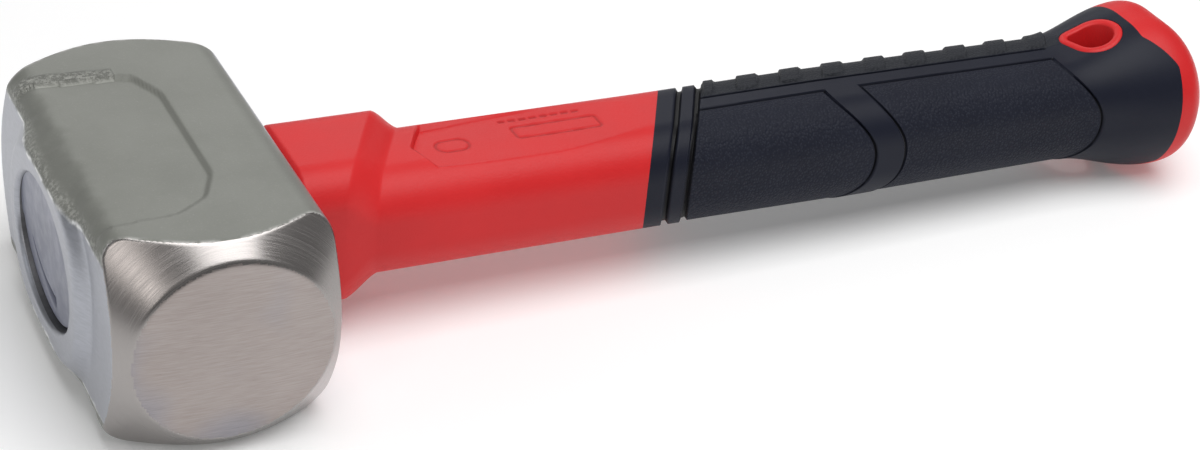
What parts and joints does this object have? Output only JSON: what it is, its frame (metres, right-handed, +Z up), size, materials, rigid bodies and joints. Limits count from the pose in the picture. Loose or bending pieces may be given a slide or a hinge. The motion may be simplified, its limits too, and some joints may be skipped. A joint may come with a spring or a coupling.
{
  "type": "club hammer",
  "caption": "Short double-faced club hammer: forged steel head bonded to a moulded glass-fibre handle with a soft ribbed grip and a hang hole.",
  "frame": {"origin": "in the plane of the lower cheek, which the hammer rests on, straight below the middle of the whole tool", "axes": "+X from the head along the handle to the butt, Y is the striking axis through both faces, +Z up out of the upper cheek"},
  "size_m": [0.274, 0.09, 0.046],
  "materials": {
    "head_steel": "forged steel, blasted and clear lacquered on the cheeks, ground on the faces",
    "eye_epoxy": "cast epoxy, blue grey",
    "glass_fibre": "pultruded glass fibre, hidden inside",
    "red_plastic": "moulded, satin",
    "black_grip": "soft thermoplastic elastomer, fine texture"
  },
  "bodies": {
    "root": {"hammer_head": "head_steel", "eye_resin": "eye_epoxy", "core_rod": "glass_fibre", "handle_jacket": "red_plastic", "grip_overmould": "black_grip"}
  },
  "joints": []
}
